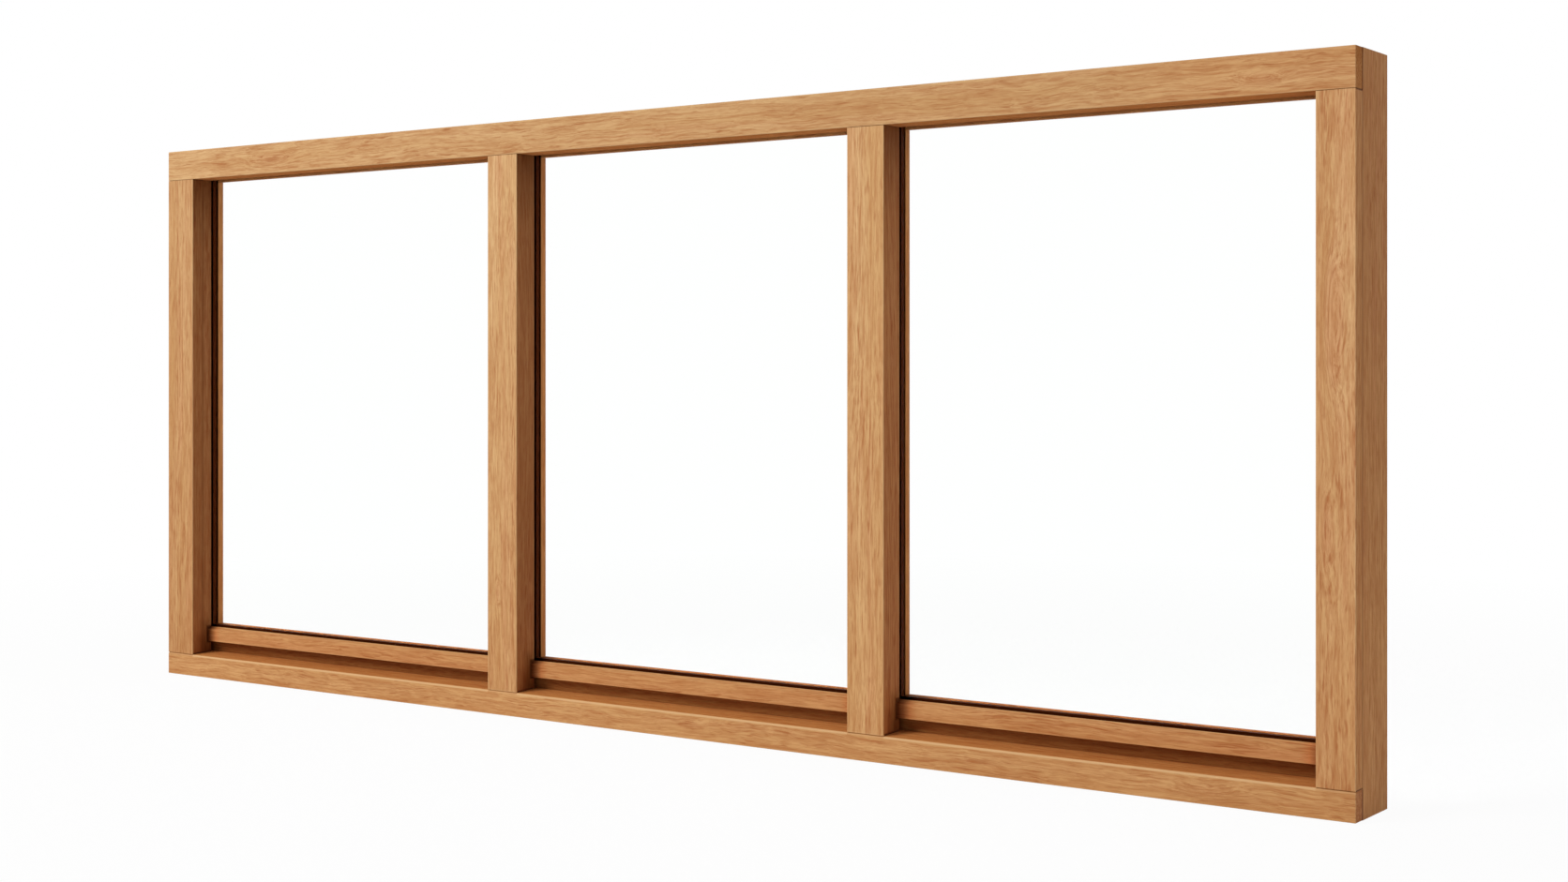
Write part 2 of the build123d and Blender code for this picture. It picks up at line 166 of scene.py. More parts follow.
class GlazingSettings(bpy.types.PropertyGroup):
    """Colours of the glass and of what seals it."""

    glass: FloatVectorProperty(
        name="Glass", description="Tint of the clear glass",
        subtype="COLOR", size=3, min=0, max=1, default=(0.997, 1.0, 0.998))
    glass_bend: FloatProperty(
        name="Refraction", description="Index of refraction of the glass",
        min=1, max=2, default=1.015)
    glass_shine: FloatProperty(
        name="Glass shine", description="Strength of the glass's reflection",
        min=0, max=1, default=0.03)
    spacer: FloatVectorProperty(
        name="Spacer", description="Colour of the spacer and edge seal",
        subtype="COLOR", size=3, min=0, max=1, default=(0.062, 0.010, 0.0003))
    outer_tape: FloatVectorProperty(
        name="Outer tape", description="Colour of the tape in front of the glass",
        subtype="COLOR", size=3, min=0, max=1, default=(0.070, 0.019, 0.003))
    inner_tape: FloatVectorProperty(
        name="Inner tape", description="Colour of the tape behind the glass",
        subtype="COLOR", size=3, min=0, max=1, default=(0.17, 0.063, 0.014))
    packer: FloatVectorProperty(
        name="Packer", description="Colour of the packers under the glass",
        subtype="COLOR", size=3, min=0, max=1, default=(0.04, 0.04, 0.045))


class StudioSettings(bpy.types.PropertyGroup):
    """Camera, lamps and floor."""

    camera_place: FloatVectorProperty(
        name="Camera place", description="Where the camera stands",
        subtype="TRANSLATION", unit="LENGTH", size=3, default=(2.2191, -2.775, 0.5952))
    camera_turn: FloatProperty(
        name="Camera turn", description="How far the camera is turned from straight ahead",
        subtype="ANGLE", unit="ROTATION", default=math.radians(35.51))
    lens: FloatProperty(
        name="Lens", description="Focal length on a 36 mm sensor, in millimetres",
        min=10, max=200, default=49.19)
    shift: FloatProperty(
        name="Shift", description="Vertical shift of the lens, as a share of the picture's width",
        default=-0.0459)
    ambient: FloatProperty(
        name="Ambient", description="Strength of the soft light from all around",
        min=0, max=2, default=0.42)
    key: FloatProperty(
        name="Key light", description="Power of the large lamp in front",
        subtype="POWER", unit="POWER", min=0, max=3000, default=620)
    backdrop: FloatVectorProperty(
        name="Backdrop", description="Colour of the floor and the backdrop",
        subtype="COLOR", size=3, min=0, max=1, default=(1.0, 1.0, 1.0))


class OakWindowSettings(bpy.types.PropertyGroup):
    """All settings of the window."""

    oak: PointerProperty(type=OakSettings)
    glazing: PointerProperty(type=GlazingSettings)
    studio: PointerProperty(type=StudioSettings)


def settings():
    """The settings of the scene that is open."""
    return bpy.context.scene.oak_window


# Small helpers for node trees

def place(tree, kind, inputs=None, **choices):
    """A new node with its choices set and its inputs linked or filled in."""
    made = tree.nodes.new(kind)
    for name, value in choices.items():
        setattr(made, name, value)
    for name, value in (inputs or {}).items():
        if isinstance(value, bpy.types.NodeSocket):
            tree.links.new(value, made.inputs[name])
        else:
            made.inputs[name].default_value = value
    return made


def maths(tree, operation, *values):
    """The result of a sum on numbers or sockets."""
    return place(tree, "ShaderNodeMath", dict(enumerate(values)), operation=operation).outputs[0]


def vectors(tree, operation, *values):
    """The result of a sum on vectors or sockets."""
    made = place(tree, "ShaderNodeVectorMath", dict(enumerate(values)), operation=operation)
    return made.outputs["Value" if operation in ("LENGTH", "DOT_PRODUCT") else "Vector"]


def remap(tree, value, low, high, to_low=0.0, to_high=1.0):
    """A value stretched from one range to another, and held inside it."""
    inputs = {"Value": value, "From Min": low, "From Max": high, "To Min": to_low, "To Max": to_high}
    return place(tree, "ShaderNodeMapRange", inputs, clamp=True).outputs["Result"]


def noise(tree, position, stretch, seed, detail=2.0, roughness=0.5):
    """Noise that is stretched by a different amount along each direction."""
    moved = vectors(tree, "ADD", vectors(tree, "MULTIPLY", position, stretch), seed)
    inputs = {"Vector": moved, "Scale": 1.0, "Detail": detail, "Roughness": roughness}
    return place(tree, "ShaderNodeTexNoise", inputs)


def sway(tree, position, stretch, seed, detail, reach):
    """Small shift across the grain, which makes straight lines wander."""
    drift = noise(tree, position, stretch, seed, detail).outputs["Color"]
    drift = vectors(tree, "SUBTRACT", drift, (0.5, 0.5, 0.5))
    across = place(tree, "ShaderNodeCombineXYZ", {0: 0.0, 1: reach, 2: reach}).outputs[0]
    return vectors(tree, "MULTIPLY", drift, across)


def blend(tree, factor, first, second, mode="MIX"):
    """Two colours mixed by a factor."""
    inputs = {0: factor, 6: first, 7: second}
    return place(tree, "ShaderNodeMix", inputs, data_type="RGBA", blend_type=mode).outputs[2]


def new_group(name, inputs, outputs):
    """An empty shader group with its sockets, and its input and output nodes."""
    tree = bpy.data.node_groups.new(name, "ShaderNodeTree")
    for label, kind in inputs:
        tree.interface.new_socket(label, in_out="INPUT", socket_type=kind)
    for label, kind in outputs:
        tree.interface.new_socket(label, in_out="OUTPUT", socket_type=kind)
    return tree, tree.nodes.new("NodeGroupInput").outputs, tree.nodes.new("NodeGroupOutput").inputs


def sockets(kind, *labels):
    """Sockets of one kind, as pairs of label and type."""
    return [(label, "NodeSocket" + kind) for label in labels]


def opaque(colour):
    """A colour with full opacity, as colour sockets take it."""
    return (*colour, 1.0)


# Shared effects

def figure_group():
    """A rise in the growth rings, strongest at one place, that draws ovals in the grain."""
    name = "Figure in the grain"
    if name in bpy.data.node_groups:
        return bpy.data.node_groups[name]
    tree, given, result = new_group(
        name, sockets("Vector", "Position", "Place", "Stretch"), sockets("Float", "Swell"))
    away = vectors(tree, "SUBTRACT", given["Position"], given["Place"])
    spread = vectors(tree, "LENGTH", vectors(tree, "MULTIPLY", away, given["Stretch"]))
    squared = maths(tree, "MULTIPLY", spread, spread)
    tree.links.new(maths(tree, "EXPONENT", maths(tree, "MULTIPLY", squared, -1.0)), result["Swell"])
    return tree


# Waves for each metre, along the grain and across it
SLOW_BENDS = (1.7, 5.0, 5.0)
WAVES = (13.0, 26.0, 26.0)
FINE_RIPPLE = (60.0, 130.0, 130.0)
PATCHES = (3.5, 30.0, 30.0)
COARSE_FIBRE = (10.0, 250.0, 250.0)
FINE_FIBRE = (30.0, 900.0, 900.0)
STROKES = (24.0, 420.0, 420.0)
PORES = (80.0, 1200.0, 1200.0)
BROAD_TONE = (0.9, 30.0, 30.0)
BLUSH_BANDS = (1.6, 70.0, 70.0)

# How far the fibres wander sideways, in metres
BEND_REACH = 0.034
RIPPLE_REACH = 0.0006

# Uneven growth rings: how fast and by how many rings their width changes
RING_CHANGE = 0.31
RING_SHIFT = 2.6
# Share of dark early wood across one ring, as place and depth
RING_PROFILE = ((0.0, 0.42), (0.14, 1.0), (0.42, 0.40), (0.78, 0.05), (1.0, 0.42))

# Ranges of noise that the masks are stretched from
PATCH_RANGE = (0.35, 0.65)
STROKE_RANGE = (0.71, 0.85)
PORE_RANGE = (0.62, 0.74)
TONE_RANGE = (0.3, 0.7)
BLUSH_RANGE = (0.50, 0.70)

# Swell of a figure at which it crowds the dashes, and at which it reddens the wood
CROWDED_SWELL = (0.002, 0.008)
REDDENED_SWELL = (0.003, 0.009)

# Weights of what the masks are made of
WEAKEST_RINGS = 0.3
COARSE_SHARE = 0.72
CROWDING = 0.16
CROWDING_IN_FIGURES = 0.05
PORE_DEPTH = 0.45
DASH_SINK = 0.5
OTHER_SEED = (0.5, 0.5, 0.5)


def ring_mask(tree, wood, given):
    """Growth rings around the pith, of uneven width."""
    across = vectors(tree, "MULTIPLY", vectors(tree, "SUBTRACT", wood, given["Pith"]), (0.0, 1.0, 1.0))
    count = maths(tree, "DIVIDE", vectors(tree, "LENGTH", across), given["Ring spacing"])
    uneven = place(
        tree, "ShaderNodeTexNoise",
        {"W": maths(tree, "MULTIPLY", count, RING_CHANGE), "Scale": 1.0, "Detail": 1.0},
        noise_dimensions="1D").outputs["Fac"]
    count = maths(tree, "MULTIPLY_ADD", uneven, RING_SHIFT, count)
    ramp = place(tree, "ShaderNodeValToRGB", {"Fac": maths(tree, "FRACT", count)})
    ramp.color_ramp.interpolation = "B_SPLINE"
    ramp.color_ramp.elements[0].color = opaque((RING_PROFILE[0][1],) * 3)
    ramp.color_ramp.elements[1].color = opaque((RING_PROFILE[-1][1],) * 3)
    for at, grey in RING_PROFILE[1:-1]:
        ramp.color_ramp.elements.new(at).color = opaque((grey,) * 3)
    return ramp.outputs["Color"]


def grain_group():
    """Oak grain in board space: X runs along the grain, Y and Z across it."""
    name = "Oak grain"
    if name in bpy.data.node_groups:
        return bpy.data.node_groups[name]
    tree, given, result = new_group(
        name,
        sockets("Vector", "Position", "Seed", "Pith", "Grain length")
        + sockets("Float", "Ring spacing", "Ripple", "Swell"),
        sockets("Float", "Rings", "Fibre", "Dashes", "Tone", "Blush", "Height"),
    )
    seed = given["Seed"]
    swell = given["Swell"]
    position = vectors(tree, "MULTIPLY", given["Position"], given["Grain length"])

    # The trunk's slow bends, then the waves and the fine ripple of the fibres
    wood = vectors(tree, "ADD", position, sway(tree, position, SLOW_BENDS, seed, 1.0, BEND_REACH))
    wood = vectors(tree, "ADD", wood, sway(tree, position, WAVES, seed, 2.0, given["Ripple"]))
    wood = vectors(tree, "ADD", wood, sway(tree, position, FINE_RIPPLE, seed, 1.0, RIPPLE_REACH))
    lifted = place(tree, "ShaderNodeCombineXYZ", {0: 0.0, 1: swell, 2: swell}).outputs[0]
    wood = vectors(tree, "ADD", wood, lifted)

    # Growth rings, stronger in some patches than in others
    patchy = noise(tree, position, PATCHES, seed, 2.0).outputs["Fac"]
    strength = remap(tree, patchy, *PATCH_RANGE, WEAKEST_RINGS, 1.0)
    rings = maths(tree, "MULTIPLY", ring_mask(tree, wood, given), strength)

    # Fibres
    coarse = noise(tree, wood, COARSE_FIBRE, seed, 3.0, 0.75).outputs["Fac"]
    fine = noise(tree, wood, FINE_FIBRE, seed, 2.0, 0.6).outputs["Fac"]
    fibre = maths(
        tree, "ADD", maths(tree, "MULTIPLY", coarse, COARSE_SHARE),
        maths(tree, "MULTIPLY", fine, 1.0 - COARSE_SHARE))

    # Reddish dashes and pores, which crowd in the early wood and in the figures
    strokes = noise(tree, wood, STROKES, seed, 1.5, 0.55).outputs["Fac"]
    pores = noise(tree, wood, PORES, seed, 1.0).outputs["Fac"]
    crowd = maths(tree, "MULTIPLY_ADD", rings, CROWDING, maths(tree, "MULTIPLY", patchy, CROWDING))
    crowd = maths(tree, "ADD", crowd, remap(tree, swell, *CROWDED_SWELL, 0.0, CROWDING_IN_FIGURES))
    dashes = remap(tree, maths(tree, "ADD", strokes, crowd), *STROKE_RANGE)
    pore_part = maths(tree, "MULTIPLY", remap(tree, pores, *PORE_RANGE), PORE_DEPTH)
    dashes = maths(tree, "MAXIMUM", dashes, pore_part)

    # Broad changes of colour, and the relief
    tone = remap(tree, noise(tree, wood, BROAD_TONE, seed, 2.0).outputs["Fac"], *TONE_RANGE)
    moved = vectors(tree, "ADD", seed, OTHER_SEED)
    bands = noise(tree, wood, BLUSH_BANDS, moved, 3.0, 0.6).outputs["Fac"]
    blush = maths(
        tree, "MAXIMUM", remap(tree, bands, *BLUSH_RANGE), remap(tree, swell, *REDDENED_SWELL))
    height = maths(tree, "SUBTRACT", fibre, maths(tree, "MULTIPLY", dashes, DASH_SINK))

    masks = {
        "Rings": rings, "Fibre": fibre, "Dashes": dashes, "Tone": tone, "Blush": blush, "Height": height,
    }
    for label, mask in masks.items():
        tree.links.new(mask, result[label])
    return tree


# How the fibres stain the wood and change its roughness
FIBRE_RANGE = (0.40, 0.64)
FIBRE_DEPTH = 0.86
FIBRE_ROUGHNESS = 0.25
DASH_ROUGHNESS = 0.12
ROUGHNESS_DROP = 0.12


def stain_group():
    """Turns the masks of the grain into the colours of oiled oak."""
    name = "Oiled oak colour"
    if name in bpy.data.node_groups:
        return bpy.data.node_groups[name]
    tree, given, result = new_group(
        name,
        sockets(
            "Float", "Rings", "Fibre", "Dashes", "Tone", "Blush",
            "Ring depth", "Dash depth", "Blush depth")
        + sockets("Color", "Pale", "Honey", "Streak", "Blush colour", "Dash colour"),
        sockets("Color", "Color") + sockets("Float", "Roughness shift"),
    )
    colour = blend(tree, given["Tone"], given["Honey"], given["Pale"])
    blush_part = maths(tree, "MULTIPLY", given["Blush"], given["Blush depth"])
    colour = blend(tree, blush_part, colour, given["Blush colour"])
    ring_part = maths(tree, "MULTIPLY", given["Rings"], given["Ring depth"])
    colour = blend(tree, ring_part, colour, given["Streak"])
    fibre_part = remap(tree, given["Fibre"], *FIBRE_RANGE, 0.0, FIBRE_DEPTH)
    colour = blend(tree, fibre_part, colour, given["Streak"])
    dash_part = maths(tree, "MULTIPLY", given["Dashes"], given["Dash depth"])
    colour = blend(tree, dash_part, colour, given["Dash colour"])
    rough = maths(tree, "MULTIPLY", given["Fibre"], FIBRE_ROUGHNESS)
    rough = maths(tree, "SUBTRACT", rough, ROUGHNESS_DROP)
    rough = maths(tree, "MULTIPLY_ADD", given["Dashes"], DASH_ROUGHNESS, rough)
    tree.links.new(colour, result["Color"])
    tree.links.new(rough, result["Roughness shift"])
    return tree


def box_share(tree, position, low, high, border):
    """1 well inside a box, falling to 0 at its faces over the width of the border."""
    below = vectors(tree, "SUBTRACT", position, low)
    above = vectors(tree, "SUBTRACT", high, position)
    near = place(tree, "ShaderNodeSeparateXYZ", {0: vectors(tree, "MINIMUM", below, above)}).outputs
    nearest = maths(tree, "MINIMUM", maths(tree, "MINIMUM", near["X"], near["Y"]), near["Z"])
    return remap(tree, nearest, 0.0, border)


def zone_group():
    """Tint of the wood inside a box with a soft border, changing from the foot to the top."""
    name = "Tint in a zone"
    if name in bpy.data.node_groups:
        return bpy.data.node_groups[name]
    tree, given, result = new_group(
        name,
        sockets("Vector", "Position")
        + sockets("Color", "Color", "Foot tint", "Top tint")
        + sockets("Float", "Foot", "Top")
        + sockets("Vector", "Low corner", "High corner")
        + sockets("Float", "Border"),
        sockets("Color", "Color"),
    )
    share = box_share(
        tree, given["Position"], given["Low corner"], given["High corner"], given["Border"])
    rise = place(tree, "ShaderNodeSeparateXYZ", {0: given["Position"]}).outputs["Z"]
    climb = remap(tree, rise, given["Foot"], given["Top"])
    tint = blend(tree, climb, given["Foot tint"], given["Top tint"])
    tree.links.new(blend(tree, share, given["Color"], tint, "MULTIPLY"), result["Color"])
    return tree


# How softly a thin line ends at its box, and the share of its half width that is full
LINE_BORDER = 0.0004
LINE_CORE = 0.45


def line_group():
    """Thin line at a plane that is square to one direction, inside a box."""
    name = "Thin line"
    if name in bpy.data.node_groups:
        return bpy.data.node_groups[name]
    tree, given, result = new_group(
        name,
        sockets("Vector", "Position", "Direction")
        + sockets("Float", "Distance", "Width")
        + sockets("Vector", "Low corner", "High corner"),
        sockets("Float", "Line"),
    )
    along = vectors(tree, "DOT_PRODUCT", given["Position"], given["Direction"])
    away = maths(tree, "ABSOLUTE", maths(tree, "SUBTRACT", along, given["Distance"]))
    share = maths(tree, "DIVIDE", away, given["Width"])
    line = remap(tree, share, LINE_CORE, 1.0, 1.0, 0.0)
    held = box_share(tree, given["Position"], given["Low corner"], given["High corner"], LINE_BORDER)
    tree.links.new(maths(tree, "MULTIPLY", line, held), result["Line"])
    return tree


def edge_group():
    """How near a point is to an edge of the box that holds its piece."""
    name = "Eased edge"
    if name in bpy.data.node_groups:
        return bpy.data.node_groups[name]
    tree, given, result = new_group(
        name,
        sockets("Vector", "Position", "Low corner", "High corner") + sockets("Float", "Reach"),
        sockets("Float", "Edge"),
    )
    low = vectors(tree, "ABSOLUTE", vectors(tree, "SUBTRACT", given["Position"], given["Low corner"]))
    high = vectors(tree, "ABSOLUTE", vectors(tree, "SUBTRACT", given["High corner"], given["Position"]))
    near = place(tree, "ShaderNodeSeparateXYZ", {0: vectors(tree, "MINIMUM", low, high)}).outputs
    x_to_y = maths(tree, "MAXIMUM", near["X"], near["Y"])
    y_to_z = maths(tree, "MAXIMUM", near["Y"], near["Z"])
    z_to_x = maths(tree, "MAXIMUM", near["Z"], near["X"])
    nearest = maths(tree, "MINIMUM", maths(tree, "MINIMUM", x_to_y, y_to_z), z_to_x)
    share = maths(tree, "DIVIDE", nearest, given["Reach"])
    tree.links.new(remap(tree, share, 0.0, 1.0, 1.0, 0.0), result["Edge"])
    return tree


# Materials

def new_material(name):
    """A material with its tree, its shader and the socket that takes the surface."""
    material = bpy.data.materials.new(name)
    material.use_nodes = True
    tree = material.node_tree
    tree.nodes.clear()
    shader = place(tree, "ShaderNodeBsdfPrincipled")
    surface = place(tree, "ShaderNodeOutputMaterial").inputs["Surface"]
    tree.links.new(shader.outputs[0], surface)
    return material, tree, shader, surface


def shared(tree, group, inputs):
    """A shared effect placed in a material, with its inputs linked or filled in."""
    return place(tree, "ShaderNodeGroup", inputs, node_tree=group).outputs


def board_space(tree, here, upright, middle):
    """Position in the piece's own board space, with X along the grain."""
    here = vectors(tree, "SUBTRACT", here, middle)
    if not upright:
        return here
    parts = place(tree, "ShaderNodeSeparateXYZ", {0: here}).outputs
    return place(tree, "ShaderNodeCombineXYZ", {0: parts["Z"], 1: parts["Y"], 2: parts["X"]}).outputs[0]


# Faces and joints of the frame, in metres
FRONT_FACE = -0.059
BACK_FACE = 0.059
LAP_BACK = -0.0345
SOFFIT = 0.964
NOSE = 0.041
HALF_WIDTH = 1.2
FRAME_TOP = 1.02
RISER_TOP = 0.064
SILL_SLOPE = math.radians(2.5)

# Distances that keep a tint or a line off the next face
SKIN = 0.0008
SIDE_SKIN = 0.0007
THIN_SKIN = 0.0006
SIDE_FROM = HALF_WIDTH - SIDE_SKIN

# Widths over which tints fade at the border of their zone
CRISP = 0.0006
SMOOTH = 0.001
SOFT = 0.0014

# Reach of the lightened edges, which show wear and a painted highlight, the height where tints begin,
# and a place beyond every piece
EDGE_REACH = 0.0026
FOOT_OF_TINTS = 0.05
FAR = 9.0

NO_TINT = "none"
WHITE = (1.0, 1.0, 1.0)


class Zone:
    """A box in the frame's space in which the wood takes a tint. Most zones paint shade; a few give the
    wood's own tone.

    The tint may change with height, from one tone at the foot to another at the top.
    """

    def __init__(self, tone, low, high, border, top_tone=None, foot=FOOT_OF_TINTS, top=FRAME_TOP):
        self.tone = tone
        self.low = low
        self.high = high
        self.border = border
        self.top_tone = top_tone or tone
        self.foot = foot
        self.top = top


class Line:
    """A thin line on the wood: the plane that it lies in, and the box that holds it."""

    def __init__(self, tone, direction, distance, half_width, depth, low, high):
        self.tone = tone
        self.direction = direction
        self.distance = distance
        self.half_width = half_width
        self.depth = depth
        self.low = low
        self.high = high


class Board:
    """How one piece was cut from the tree, what marks it, and the painted shade and highlight that it
    takes.
    """

    def __init__(self, upright, seed, pith, ripple, figures=(), lines=(), zones=(),
                 tint=(1, 1, 1), length=1.0, depth=1.0, shine=1.0, wear_and_highlight=0.45, redness=0.50):
        self.upright = upright
        self.seed = seed
        self.pith = pith
        self.ripple = ripple
        self.figures = figures
        self.lines = lines
        self.zones = zones
        self.tint = tint
        self.length = length
        self.depth = depth
        self.shine = shine
        self.wear_and_highlight = wear_and_highlight
        self.redness = redness

    def tinted(self, colour):
        """A colour of the oak as this board shows it."""
        return opaque(tuple(min(1.0, part * share) for part, share in zip(colour, self.tint)))


def swell_of(tree, board, position):
    """Sum of the figures of a board."""
    total = 0.0
    for place_of_figure, stretch, rise in board.figures:
        swell = shared(tree, figure_group(), {
            "Position": position, "Place": place_of_figure, "Stretch": stretch})["Swell"]
        total = maths(tree, "MULTIPLY_ADD", swell, rise, total)
    return total


def tint_of_zone(oak, board, tone):
    """Tint of a zone. Each board takes the painted shade inside the openings a little more or less."""
    if tone == NO_TINT:
        return opaque(WHITE)
    share = board.depth if tone == "recess_tone" else 1.0
    return opaque(tuple(min(1.0, part * share) for part in getattr(oak, tone)))


def wear_and_highlight_limits(board, low, high):
    """Left and right limits of the lightened edges, which show wear and a painted highlight, moved away
    where a jamb's corners stay crisp.
    """
    if not board.upright:
        return -FAR, FAR
    return -FAR if low < -SIDE_FROM else low, FAR if high > SIDE_FROM else high


def oak_material(node, board):
    """Oiled oak for one piece, with the grain along it and its own stretch of board, and with the
    painted shade and highlights of its zones, edges and lines.
    """
    oak = settings().oak
    low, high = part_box(node)
    middle = (low + high) / 2
    material, tree, shader, _ = new_material("Oiled oak " + node.replace("_", " "))
    here = place(tree, "ShaderNodeTexCoord").outputs["Object"]
    in_board = board_space(tree, here, board.upright, middle)
    grain = shared(tree, grain_group(), {
        "Position": in_board,
        "Seed": board.seed,
        "Pith": board.pith,
        "Grain length": (board.length, 1.0, 1.0),
        "Ring spacing": oak.ring_spacing,
        "Ripple": board.ripple,
        "Swell": swell_of(tree, board, in_board),
    })
    stain = shared(tree, stain_group(), {
        "Rings": grain["Rings"],
        "Fibre": grain["Fibre"],
        "Dashes": grain["Dashes"],
        "Tone": grain["Tone"],
        "Blush": grain["Blush"],
        "Ring depth": oak.ring_depth,
        "Dash depth": oak.dash_depth,
        "Blush depth": board.redness,
        "Pale": board.tinted(oak.pale),
        "Honey": board.tinted(oak.honey),
        "Streak": board.tinted(oak.streak),
        "Blush colour": board.tinted(oak.blush),
        "Dash colour": board.tinted(oak.dash),
    })
    left, right = wear_and_highlight_limits(board, low[0], high[0])
    edge = shared(tree, edge_group(), {
        "Position": here,
        "Low corner": (left, low[1], low[2]),
        "High corner": (right, high[1], high[2]),
        "Reach": EDGE_REACH,
    })["Edge"]
    # Edges lightened toward pale: partly wear, partly a painted highlight on the rounded arrises.
    edge_part = maths(tree, "MULTIPLY", edge, board.wear_and_highlight)
    colour = blend(tree, edge_part, stain["Color"], board.tinted(oak.pale))
    # Tints of the zones, most of them painted shade
    for zone in board.zones:
        colour = shared(tree, zone_group(), {
            "Position": here, "Color": colour,
            "Foot tint": tint_of_zone(oak, board, zone.tone),
            "Top tint": tint_of_zone(oak, board, zone.top_tone),
            "Foot": zone.foot, "Top": zone.top,
            "Low corner": zone.low, "High corner": zone.high, "Border": zone.border})["Color"]
    # Thin lines: dark joints, and the painted highlight along the sill's nose
    for line in board.lines:
        mask = shared(tree, line_group(), {
            "Position": here, "Direction": line.direction, "Distance": line.distance,
            "Width": line.half_width, "Low corner": line.low, "High corner": line.high})["Line"]
        line_part = maths(tree, "MULTIPLY", mask, line.depth)
        colour = blend(tree, line_part, colour, opaque(getattr(oak, line.tone)))
    bump = place(tree, "ShaderNodeBump", {
        "Height": grain["Height"], "Strength": 1.0, "Distance": oak.relief})
    rough = maths(tree, "ADD", stain["Roughness shift"], oak.roughness)
    tree.links.new(colour, shader.inputs["Base Color"])
    tree.links.new(rough, shader.inputs["Roughness"])
    tree.links.new(bump.outputs[0], shader.inputs["Normal"])
    shader.inputs["Specular IOR Level"].default_value = oak.shine * board.shine
    return material


def glass_material():
    """Clear glass that lets the lamps through."""
    glazing = settings().glazing
    material, tree, shader, surface = new_material("Clear glass")
    shader.inputs["Base Color"].default_value = opaque(glazing.glass)
    shader.inputs["Roughness"].default_value = 0.0
    shader.inputs["IOR"].default_value = glazing.glass_bend
    shader.inputs["Transmission Weight"].default_value = 1.0
    shader.inputs["Specular IOR Level"].default_value = glazing.glass_shine
    through = place(tree, "ShaderNodeBsdfTransparent")
    path = place(tree, "ShaderNodeLightPath")
    mix = place(tree, "ShaderNodeMixShader", {
        0: path.outputs["Is Shadow Ray"], 1: shader.outputs[0], 2: through.outputs[0]})
    tree.links.new(mix.outputs[0], surface)
    return material


# Speckle of the plastic and the foam: range of the noise, and what it changes
SPECKLE_RANGE = (0.3, 0.7)
LIGHTEST_SHARE = 0.35
LIGHTER = 1.8
UNEVEN_ROUGHNESS = 0.06
DULL_RELIEF = 0.0001
DULL_SHINE = 0.03


def dull_material(name, colour, roughness, speckle):
    """Matt plastic or foam with a faint uneven surface."""
    material, tree, shader, _ = new_material(name)
    here = place(tree, "ShaderNodeTexCoord").outputs["Object"]
    grain = noise(tree, here, (speckle,) * 3, (0.0, 0.0, 0.0), 3.0).outputs["Fac"]
    shade = remap(tree, grain, *SPECKLE_RANGE, 0.0, LIGHTEST_SHARE)
    lighter = tuple(min(1.0, channel * LIGHTER) for channel in colour)
    smoothest = roughness - UNEVEN_ROUGHNESS
    roughest = roughness + UNEVEN_ROUGHNESS
    rough = remap(tree, grain, *SPECKLE_RANGE, smoothest, roughest)
    bump = place(tree, "ShaderNodeBump", {"Height": grain, "Strength": 0.5, "Distance": DULL_RELIEF})
    tree.links.new(blend(tree, shade, opaque(colour), opaque(lighter)), shader.inputs["Base Color"])
    tree.links.new(rough, shader.inputs["Roughness"])
    tree.links.new(bump.outputs[0], shader.inputs["Normal"])
    shader.inputs["Specular IOR Level"].default_value = DULL_SHINE
    return material


def dress(node, material):
    """Gives a piece from the frame one material all over."""
    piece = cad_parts[node]
    piece.data.materials.clear()
    piece.data.materials.append(material)
    return piece


# Sanded edges: width on the frame and on the small pieces, and where they are broken
FRAME_EDGE = 0.0007
SMALL_EDGE = 0.0004
EDGE_STEPS = 2
SHARPEST_LEFT = math.radians(40)
SAME_CORNER = 0.00001


def ease(piece, width):
    """Breaks the sharp edges that sandpaper would take off."""
    weld = piece.modifiers.new("Joined corners", "WELD")
    weld.merge_threshold = SAME_CORNER
    bevel = piece.modifiers.new("Sanded edges", "BEVEL")
    bevel.width = width
    bevel.segments = EDGE_STEPS
    bevel.limit_method = "ANGLE"
    bevel.angle_limit = SHARPEST_LEFT
    bevel.harden_normals = True


# Directions, planes and limits that lines and zones share
UPWARD = (0.0, 0.0, 1.0)
INWARD = (0.0, 1.0, 0.0)
OFF_THE_SILL = (0.0, -math.sin(SILL_SLOPE), math.cos(SILL_SLOPE))
SILL_TOP_AWAY = NOSE * math.cos(SILL_SLOPE) - FRONT_FACE * math.sin(SILL_SLOPE)
LOWEST = (-FAR, -FAR, -FAR)
HIGHEST = (FAR, FAR, FAR)
BEHIND_FRONT = FRONT_FACE + SKIN
BEFORE_BACK = BACK_FACE - SKIN
UNDER_TOP = FRAME_TOP - SKIN
LAP_LIMIT = LAP_BACK + THIN_SKIN
ABOVE_BASE = 0.001
# Left and right limits of the three openings
OPENINGS = ((-1.128, -0.348), (-0.281, 0.399), (0.465, 1.145))


def joint_on_front(height):
    """Faint line on the face of a post where it meets the head or the sill."""
    return Line("seam", UPWARD, height, 0.0014, 0.28, LOWEST, (FAR, BEHIND_FRONT + SKIN, FAR))


def joint_on_side(height):
    """Dark line on the outer side of a jamb where it meets the end of a lap."""
    low = (-FAR, BEHIND_FRONT, -FAR)
    return Line("seam", UPWARD, height, 0.0030, 0.90, low, (FAR, LAP_LIMIT, FAR))


def back_of_lap(depth, low, high):
    """Dark upright line on the outer side, along the back of a lap."""
    return Line("seam", INWARD, LAP_BACK, 0.0026, depth, low, high)


